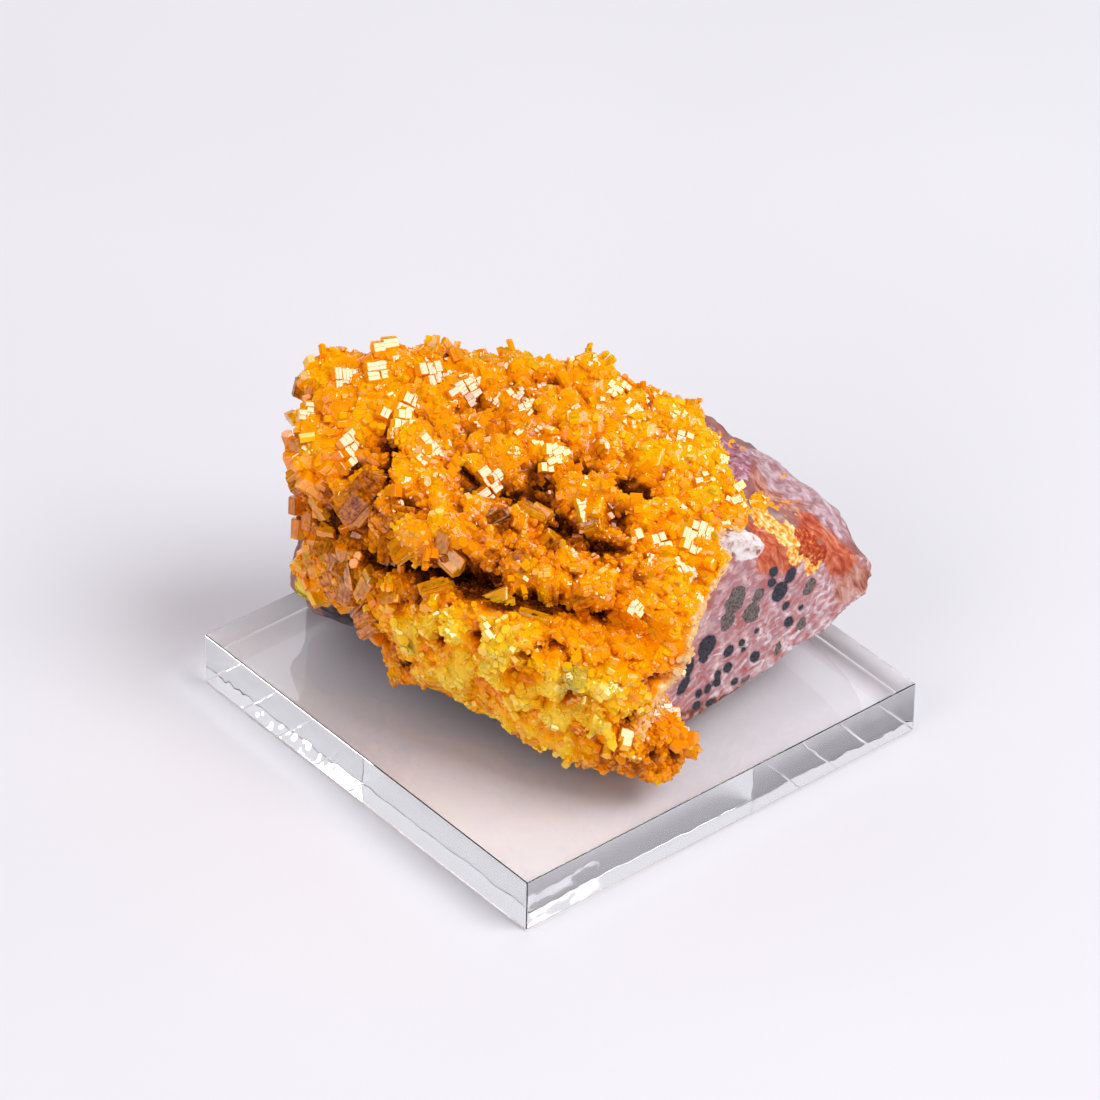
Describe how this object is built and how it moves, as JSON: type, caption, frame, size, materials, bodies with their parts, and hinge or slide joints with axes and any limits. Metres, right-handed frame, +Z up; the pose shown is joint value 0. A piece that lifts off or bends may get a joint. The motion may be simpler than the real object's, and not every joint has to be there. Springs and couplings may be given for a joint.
{
  "type": "mimetite mineral specimen",
  "caption": "Wedge of purple-red rock covered with orange prismatic mimetite crystals, one end broken flat, resting on a square clear acrylic slab.",
  "frame": {"origin": "middle of the slab's underside", "axes": "+Z up out of the slab; X and Y along the slab's edges; the crystal face looks towards -Y and the broken end towards +X and -Y"},
  "size_m": [0.1092, 0.1039, 0.0716],
  "materials": {
    "acrylic": "clear cast acrylic, polished edges",
    "rock": "rough fine-grained rock, mauve and brick red with dark ovals",
    "mimetite": "resinous, glassy crystal faces, orange to yellow and brown"
  },
  "bodies": {
    "root": {"acrylic_base": "acrylic", "matrix_rock": "rock", "mimetite_crust": "mimetite"}
  },
  "joints": []
}
